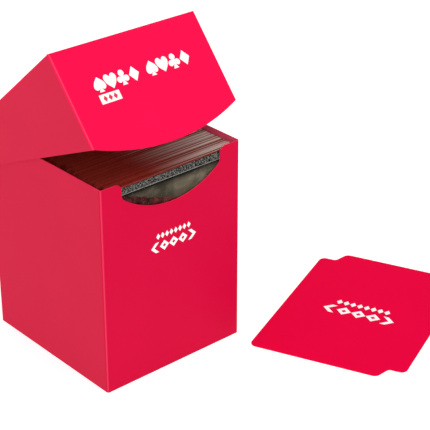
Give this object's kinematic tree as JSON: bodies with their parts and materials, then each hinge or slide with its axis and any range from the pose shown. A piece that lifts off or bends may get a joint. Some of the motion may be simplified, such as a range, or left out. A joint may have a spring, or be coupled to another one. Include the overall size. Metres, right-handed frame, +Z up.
{
  "type": "card deck box",
  "caption": "Flip-top box folded from a plastic sheet for a deck of sleeved cards, with a thumb notch and a loose divider card.",
  "frame": {"origin": "centre of the box body's footprint, on the surface it stands on", "axes": "+Z up, -Y out of the front panel with the thumb notch, +X to the right of someone facing that panel"},
  "size_m": [0.1844, 0.1635, 0.1436],
  "materials": {
    "red_polypropylene": "fine matt sheet",
    "divider_polypropylene": "fine matt sheet",
    "sleeve_film": "satin film",
    "clear_film": "clear film",
    "white_ink": "screen-printed ink",
    "card_stock": "printed and varnished"
  },
  "bodies": {
    "box": {"body_front_panel": "red_polypropylene", "body_left_side": "red_polypropylene", "body_right_side": "red_polypropylene", "body_back_panel": "red_polypropylene", "body_bottom_panel": "red_polypropylene", "bottom_left_flap": "red_polypropylene", "bottom_right_flap": "red_polypropylene", "side_seam_flap": "red_polypropylene", "lid_hinge_crease": "red_polypropylene", "front_sleeve_window": "clear_film", "front_card": "card_stock", "front_sleeve_back": "sleeve_film", "sleeved_cards_01": "sleeve_film", "sleeved_cards_02": "sleeve_film", "sleeved_cards_03": "sleeve_film", "sleeved_cards_04": "sleeve_film", "sleeved_cards_05": "sleeve_film", "sleeved_cards_06": "sleeve_film", "sleeved_cards_07": "sleeve_film", "sleeved_cards_08": "sleeve_film", "sleeved_cards_09": "sleeve_film", "sleeved_cards_10": "sleeve_film", "sleeved_cards_11": "sleeve_film", "sleeved_cards_12": "sleeve_film", "sleeved_cards_13": "sleeve_film", "sleeved_cards_14": "sleeve_film", "sleeved_cards_15": "sleeve_film", "sleeved_cards_16": "sleeve_film", "sleeved_cards_17": "sleeve_film", "sleeved_cards_18": "sleeve_film", "sleeved_cards_19": "sleeve_film", "sleeved_cards_20": "sleeve_film", "sleeved_cards_21": "sleeve_film", "sleeved_cards_22": "sleeve_film", "sleeved_cards_23": "sleeve_film", "sleeved_cards_24": "sleeve_film", "sleeved_cards_25": "sleeve_film"},
    "lid": {"lid_front_flap": "red_polypropylene", "lid_left_side": "red_polypropylene", "lid_right_side": "red_polypropylene", "lid_top_panel": "red_polypropylene", "lid_back_panel": "red_polypropylene"},
    "divider": {"card_divider": "divider_polypropylene"}
  },
  "joints": [
    {"name": "lid_hinge", "type": "hinge", "parent": "box", "child": "lid", "pos_m": [0, 0.03935, 0.0753], "axis": [-1, 0, 0], "range_deg": [-40.42, 124.58]},
    {"name": "divider_lift", "type": "slide", "parent": "box", "child": "divider", "axis": [0, 0, 1], "range_m": [0, 0.1]}
  ]
}
